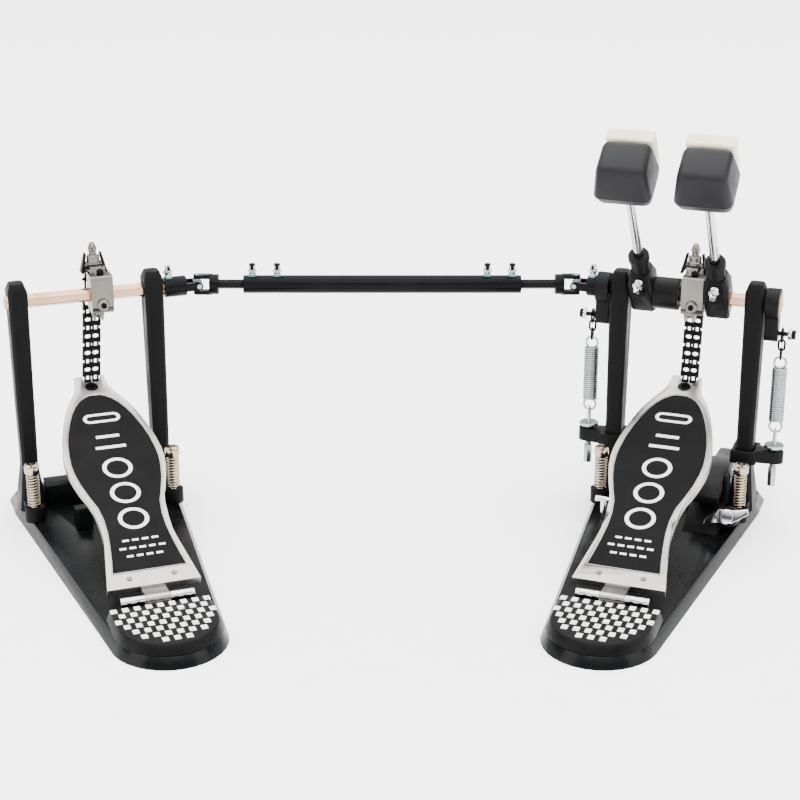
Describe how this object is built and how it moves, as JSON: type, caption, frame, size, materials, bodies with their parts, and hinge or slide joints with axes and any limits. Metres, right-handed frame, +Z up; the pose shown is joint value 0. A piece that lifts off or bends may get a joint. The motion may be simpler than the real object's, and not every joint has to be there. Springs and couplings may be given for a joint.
{
  "type": "bass drum pedal",
  "caption": "Twin bass drum pedal: chain-driven footboards on base plates, a drive linkage with universal joints, felt beaters, return springs and a hoop clamp.",
  "frame": {"origin": "middle of the whole object, on the floor", "axes": "+X to the player's right, +Y towards the drum, +Z up"},
  "size_m": [0.699, 0.3844, 0.355],
  "materials": {
    "painted_steel": "satin black paint",
    "painted_base": "glossy black paint",
    "black_casting": "black powder coat",
    "cast_aluminium": "satin cast aluminium",
    "tread_rubber": "matt charcoal rubber",
    "chrome": "polished chrome",
    "warm_nickel": "polished nickel with a warm tint",
    "zinc": "zinc plated spring steel",
    "black_steel": "black oxide steel",
    "beater_plastic": "matt black plastic",
    "felt": "ivory pressed felt"
  },
  "bodies": {
    "stands": {"left_base_plate": "painted_base", "left_heel_plate": "painted_base", "left_hinge_base": "chrome", "left_outer_post": "painted_steel", "left_inner_post": "painted_steel", "right_base_plate": "painted_base", "right_heel_plate": "painted_base", "right_hinge_base": "chrome", "right_outer_post": "painted_steel", "right_inner_post": "painted_steel", "right_main_tension_rod": "zinc", "right_second_tension_rod": "zinc", "right_main_spring_arm": "black_casting", "right_second_spring_arm": "black_casting", "right_clamp_bracket": "black_casting", "right_drum_key": "chrome"},
    "main_shaft_set": {"right_shaft": "warm_nickel", "right_cam": "cast_aluminium", "right_chain_wrap": "black_steel", "right_beater_hub": "black_casting", "right_main_rocker": "black_casting"},
    "second_drive_set": {"right_drive_hub": "black_casting", "right_shaft_yoke": "black_steel", "right_second_rocker": "black_casting"},
    "main_beater": {"right_main_beater_rod": "chrome", "right_main_beater_head": "beater_plastic", "right_main_beater_felt": "felt"},
    "second_beater": {"right_second_beater_rod": "chrome", "right_second_beater_head": "beater_plastic", "right_second_beater_felt": "felt"},
    "right_board": {"right_footboard": "cast_aluminium", "right_tread_pad": "tread_rubber"},
    "right_strand": {"right_chain_strand": "black_steel"},
    "right_link_a": {"right_chain_link_a": "black_steel"},
    "right_link_b": {"right_chain_link_b": "black_steel"},
    "left_shaft_set": {"left_shaft": "warm_nickel", "left_cam": "cast_aluminium", "left_chain_wrap": "black_steel", "left_shaft_yoke": "black_steel"},
    "left_board": {"left_footboard": "cast_aluminium", "left_tread_pad": "tread_rubber"},
    "left_strand": {"left_chain_strand": "black_steel"},
    "left_link_a": {"left_chain_link_a": "black_steel"},
    "left_link_b": {"left_chain_link_b": "black_steel"},
    "drive_tube_set": {"drive_tube": "black_steel", "left_drive_rod": "black_steel", "right_drive_rod": "black_steel"},
    "left_cross": {"left_joint_cross": "zinc"},
    "right_cross": {"right_joint_cross": "zinc"},
    "main_spring": {"right_main_spring": "zinc"},
    "main_stirrup": {"right_main_stirrup": "zinc"},
    "second_spring": {"right_second_spring": "zinc"},
    "second_stirrup": {"right_second_stirrup": "zinc"},
    "left_outer_spur": {"left_outer_spur_bolt": "warm_nickel"},
    "left_inner_spur": {"left_inner_spur_bolt": "warm_nickel"},
    "right_outer_spur": {"right_outer_spur_bolt": "warm_nickel"},
    "right_inner_spur": {"right_inner_spur_bolt": "warm_nickel"},
    "wing_bolt": {"right_clamp_wing_bolt": "chrome"},
    "clamp_jaw": {"right_clamp_jaw": "black_casting"}
  },
  "joints": [
    {"name": "main_beater_swing", "type": "hinge", "parent": "stands", "child": "main_shaft_set", "pos_m": [0.25601, 0.12144, 0.197], "axis": [-0.9399, 0.3415, 0], "range_deg": [0, 45], "stiffness_Nm_per_rad": 0.35, "springref_deg": -20.05},
    {"name": "second_beater_swing", "type": "hinge", "parent": "stands", "child": "second_drive_set", "pos_m": [0.21842, 0.1351, 0.197], "axis": [-0.9399, 0.3415, 0], "range_deg": [0, 45], "stiffness_Nm_per_rad": 0.35, "springref_deg": -20.05},
    {"name": "main_beater_height", "type": "slide", "parent": "main_shaft_set", "child": "main_beater", "axis": [-0.2055, -0.5656, 0.7986], "range_m": [0, 0.02]},
    {"name": "second_beater_height", "type": "slide", "parent": "second_drive_set", "child": "second_beater", "axis": [-0.2055, -0.5656, 0.7986], "range_m": [0, 0.02]},
    {"name": "right_footboard_press", "type": "hinge", "parent": "stands", "child": "right_board", "pos_m": [0.172, -0.10977, 0.02], "axis": [-0.9399, 0.3415, 0], "range_deg": [0, 4.2]},
    {"name": "right_chain_swing", "type": "hinge", "parent": "right_board", "child": "right_strand", "pos_m": [0.26359, 0.1335, 0.11248], "axis": [-0.9399, 0.3415, 0], "range_deg": [-8.9, 0]},
    {"name": "right_chain_bend_a", "type": "hinge", "parent": "right_strand", "child": "right_link_a", "pos_m": [0.26697, 0.1428, 0.19411], "axis": [-0.9399, 0.3415, 0], "range_deg": [0, 13.1]},
    {"name": "right_chain_bend_b", "type": "hinge", "parent": "right_link_a", "child": "right_link_b", "pos_m": [0.26658, 0.14173, 0.20485], "axis": [-0.9399, 0.3415, 0], "range_deg": [0, 26.1]},
    {"name": "left_shaft_turn", "type": "hinge", "parent": "stands", "child": "left_shaft_set", "pos_m": [-0.26769, 0.12144, 0.197], "axis": [-0.9399, -0.3415, 0], "range_deg": [0, 45]},
    {"name": "left_footboard_press", "type": "hinge", "parent": "stands", "child": "left_board", "pos_m": [-0.18367, -0.10977, 0.02], "axis": [-0.9399, -0.3415, 0], "range_deg": [0, 4.2]},
    {"name": "left_chain_swing", "type": "hinge", "parent": "left_board", "child": "left_strand", "pos_m": [-0.26963, 0.13555, 0.11248], "axis": [-0.9399, -0.3415, 0], "range_deg": [-8.9, 0]},
    {"name": "left_chain_bend_a", "type": "hinge", "parent": "left_strand", "child": "left_link_a", "pos_m": [-0.273, 0.14485, 0.19411], "axis": [-0.9399, -0.3415, 0], "range_deg": [0, 13.1]},
    {"name": "left_chain_bend_b", "type": "hinge", "parent": "left_link_a", "child": "left_link_b", "pos_m": [-0.27261, 0.14378, 0.20485], "axis": [-0.9399, -0.3415, 0], "range_deg": [0, 26.1]},
    {"name": "drive_tube_turn", "type": "hinge", "parent": "stands", "child": "drive_tube_set", "pos_m": [0, 0.15555, 0.197], "axis": [-1, 0, 0], "range_deg": [0, 46.8]},
    {"name": "left_cross_rock", "type": "hinge", "parent": "left_shaft_set", "child": "left_cross", "pos_m": [-0.1738, 0.15555, 0.197], "axis": [-0.3415, 0.9399, 0], "range_deg": [0, 14.5]},
    {"name": "right_cross_rock", "type": "hinge", "parent": "second_drive_set", "child": "right_cross", "pos_m": [0.16212, 0.15555, 0.197], "axis": [0.3415, 0.9399, 0], "range_deg": [-14.5, 0]},
    {"name": "main_spring_swing", "type": "hinge", "parent": "stands", "child": "main_spring", "pos_m": [0.33449, 0.09292, 0.082], "axis": [-0.9399, 0.3415, 0], "range_deg": [-10.9, 0]},
    {"name": "main_spring_stretch", "type": "slide", "parent": "main_spring", "child": "main_stirrup", "axis": [0, 0, 1], "range_m": [0, 0.0095], "deforming": ["right_main_spring"]},
    {"name": "second_spring_swing", "type": "hinge", "parent": "stands", "child": "second_spring", "pos_m": [0.17753, 0.14995, 0.082], "axis": [-0.9399, 0.3415, 0], "range_deg": [-10.9, 0]},
    {"name": "second_spring_stretch", "type": "slide", "parent": "second_spring", "child": "second_stirrup", "axis": [0, 0, 1], "range_m": [0, 0.0095], "deforming": ["right_second_spring"]},
    {"name": "left_outer_spur_height", "type": "slide", "parent": "stands", "child": "left_outer_spur", "axis": [0, 0, 1], "range_m": [0, 0.006]},
    {"name": "left_inner_spur_height", "type": "slide", "parent": "stands", "child": "left_inner_spur", "axis": [0, 0, 1], "range_m": [0, 0.006]},
    {"name": "right_outer_spur_height", "type": "slide", "parent": "stands", "child": "right_outer_spur", "axis": [0, 0, 1], "range_m": [0, 0.006]},
    {"name": "right_inner_spur_height", "type": "slide", "parent": "stands", "child": "right_inner_spur", "axis": [0, 0, 1], "range_m": [0, 0.006]},
    {"name": "wing_bolt_turn", "type": "hinge", "parent": "stands", "child": "wing_bolt", "pos_m": [0.28798, 0.0396, 0.023], "axis": [-0.3167, -0.8714, 0.3746], "range_deg": [0, 330]},
    {"name": "clamp_jaw_open", "type": "hinge", "parent": "stands", "child": "clamp_jaw", "pos_m": [0.27994, 0.08188, 0.04], "axis": [0.9399, -0.3415, 0], "range_deg": [0, 8.1]}
  ],
  "couplings": [
    {"joint": "right_footboard_press", "follows": "main_beater_swing", "ratio": 0.092879},
    {"joint": "right_chain_swing", "follows": "main_beater_swing", "ratio": -0.19717},
    {"joint": "right_chain_bend_a", "follows": "main_beater_swing", "ratio": 0.28889},
    {"joint": "right_chain_bend_b", "follows": "main_beater_swing", "ratio": 0.57778},
    {"joint": "left_shaft_turn", "follows": "second_beater_swing", "ratio": 1},
    {"joint": "left_footboard_press", "follows": "second_beater_swing", "ratio": 0.092879},
    {"joint": "left_chain_swing", "follows": "second_beater_swing", "ratio": -0.19717},
    {"joint": "left_chain_bend_a", "follows": "second_beater_swing", "ratio": 0.28889},
    {"joint": "left_chain_bend_b", "follows": "second_beater_swing", "ratio": 0.57778},
    {"joint": "drive_tube_turn", "follows": "second_beater_swing", "ratio": 1.0395},
    {"joint": "left_cross_rock", "follows": "second_beater_swing", "ratio": 0.32023},
    {"joint": "right_cross_rock", "follows": "second_beater_swing", "ratio": -0.32023},
    {"joint": "main_spring_swing", "follows": "main_beater_swing", "ratio": -0.23942},
    {"joint": "main_spring_stretch", "follows": "main_beater_swing", "m_per_rad": 0.011903},
    {"joint": "second_spring_swing", "follows": "second_beater_swing", "ratio": -0.23942},
    {"joint": "second_spring_stretch", "follows": "second_beater_swing", "m_per_rad": 0.011903},
    {"joint": "clamp_jaw_open", "follows": "wing_bolt_turn", "ratio": 0.024242}
  ]
}
